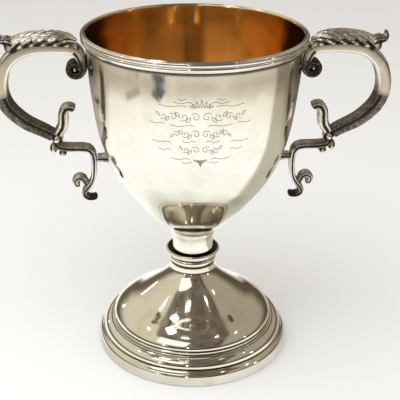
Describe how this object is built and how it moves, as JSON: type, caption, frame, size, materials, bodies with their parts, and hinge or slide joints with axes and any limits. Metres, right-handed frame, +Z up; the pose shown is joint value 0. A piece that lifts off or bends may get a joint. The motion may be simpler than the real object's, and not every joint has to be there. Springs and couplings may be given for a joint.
{
  "type": "two-handled presentation cup",
  "caption": "Footed silver presentation cup: an open bowl with a reeded rim and gilt inside, two leaf-capped scroll handles, a spool neck with a knop, and a domed foot on stepped rings.",
  "frame": {"origin": "on the table, under the middle of the foot: the bottom centre of the bounding box", "axes": "+Z up along the cup's axis; the two handles lie along +X and -X; the engraved front of the bowl faces -Y"},
  "size_m": [0.2042, 0.1156, 0.18],
  "materials": {
    "bowl_silver": "polished sterling silver with fine handling scratches",
    "rim_silver": "bright polished sterling silver",
    "stem_silver": "polished sterling silver, faintly tarnished in the grooves",
    "foot_silver": "polished sterling silver, faintly tarnished in the grooves",
    "strap_silver": "polished cast sterling silver",
    "chased_silver": "chased cast sterling silver with dark oxidised recesses"
  },
  "bodies": {
    "root": {"bowl": "bowl_silver", "rim_moulding": "rim_silver", "neck_spool": "stem_silver", "knop_dish": "stem_silver", "knop_bead": "stem_silver", "foot_dome": "foot_silver", "foot_ovolo_ring": "foot_silver", "foot_base_ring": "foot_silver", "right_main_scroll": "strap_silver", "right_acanthus_leaf": "chased_silver", "right_spur_scroll": "chased_silver", "right_waist_bead": "chased_silver", "right_inner_leaflet": "chased_silver", "right_outer_leaflet": "chased_silver", "right_lower_scroll": "strap_silver", "right_side_volute": "chased_silver", "right_wall_lug": "strap_silver", "left_main_scroll": "strap_silver", "left_acanthus_leaf": "chased_silver", "left_spur_scroll": "chased_silver", "left_waist_bead": "chased_silver", "left_inner_leaflet": "chased_silver", "left_outer_leaflet": "chased_silver", "left_lower_scroll": "strap_silver", "left_side_volute": "chased_silver", "left_wall_lug": "strap_silver"}
  },
  "joints": []
}
